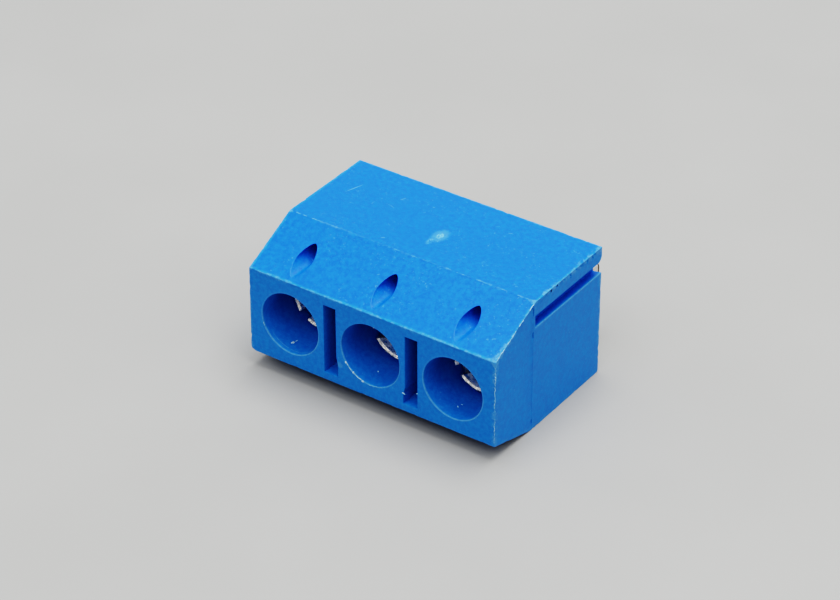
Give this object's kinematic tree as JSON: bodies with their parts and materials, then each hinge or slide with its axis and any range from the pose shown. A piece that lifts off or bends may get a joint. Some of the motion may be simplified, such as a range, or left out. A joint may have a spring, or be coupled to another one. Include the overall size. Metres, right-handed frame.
{
  "type": "pcb screw terminal block",
  "caption": "Screw terminal block for a circuit board: wedge-fronted plastic body with clamp screws sunk in deep bores, a clamping frame and plate in each pole, and square solder pins behind.",
  "frame": {"origin": "centre of the underside of the whole part's bounding box, with the block lying on its wire-entry face", "axes": "+X along the row of poles towards the end with the dovetail groove, +Y from the screw face towards the board and the solder pins, +Z from the wire-entry face up to the plain back face"},
  "size_m": [0.0154, 0.013, 0.0076],
  "materials": {
    "housing_plastic": "satin moulded polyamide, fine-textured",
    "frame_brass": "nickel-flashed brass, satin",
    "pin_tin": "tin-plated, satin",
    "plate_steel": "zinc-plated pressed steel",
    "screw_zinc": "bright zinc-plated"
  },
  "bodies": {
    "housing_body": {"housing": "housing_plastic", "clamp_frame_left": "frame_brass", "solder_pin_left": "pin_tin", "clamp_frame_middle": "frame_brass", "solder_pin_middle": "pin_tin", "clamp_frame_right": "frame_brass", "solder_pin_right": "pin_tin"},
    "plate_left_body": {"clamp_plate_left": "plate_steel"},
    "screw_left_body": {"screw_left": "screw_zinc"},
    "plate_middle_body": {"clamp_plate_middle": "plate_steel"},
    "screw_middle_body": {"screw_middle": "screw_zinc"},
    "plate_right_body": {"clamp_plate_right": "plate_steel"},
    "screw_right_body": {"screw_right": "screw_zinc"}
  },
  "joints": [
    {"name": "plate_left_lift", "type": "slide", "parent": "housing_body", "child": "plate_left_body", "axis": [0, -1, 0], "range_m": [0, 0.0024]},
    {"name": "screw_left_turn", "type": "hinge", "parent": "plate_left_body", "child": "screw_left_body", "pos_m": [-0.00477, -0.00407, 0.00345], "axis": [0, -1, 0], "range_deg": [0, 1922]},
    {"name": "plate_middle_lift", "type": "slide", "parent": "housing_body", "child": "plate_middle_body", "axis": [0, -1, 0], "range_m": [0, 0.0024]},
    {"name": "screw_middle_turn", "type": "hinge", "parent": "plate_middle_body", "child": "screw_middle_body", "pos_m": [0.00022, -0.00407, 0.00345], "axis": [0, -1, 0], "range_deg": [0, 1922]},
    {"name": "plate_right_lift", "type": "slide", "parent": "housing_body", "child": "plate_right_body", "axis": [0, -1, 0], "range_m": [0, 0.0024]},
    {"name": "screw_right_turn", "type": "hinge", "parent": "plate_right_body", "child": "screw_right_body", "pos_m": [0.00522, -0.00407, 0.00345], "axis": [0, -1, 0], "range_deg": [0, 1922]}
  ],
  "couplings": [
    {"joint": "screw_left_turn", "follows": "plate_left_lift", "rad_per_m": 13963},
    {"joint": "screw_middle_turn", "follows": "plate_middle_lift", "rad_per_m": 13963},
    {"joint": "screw_right_turn", "follows": "plate_right_lift", "rad_per_m": 13963}
  ]
}
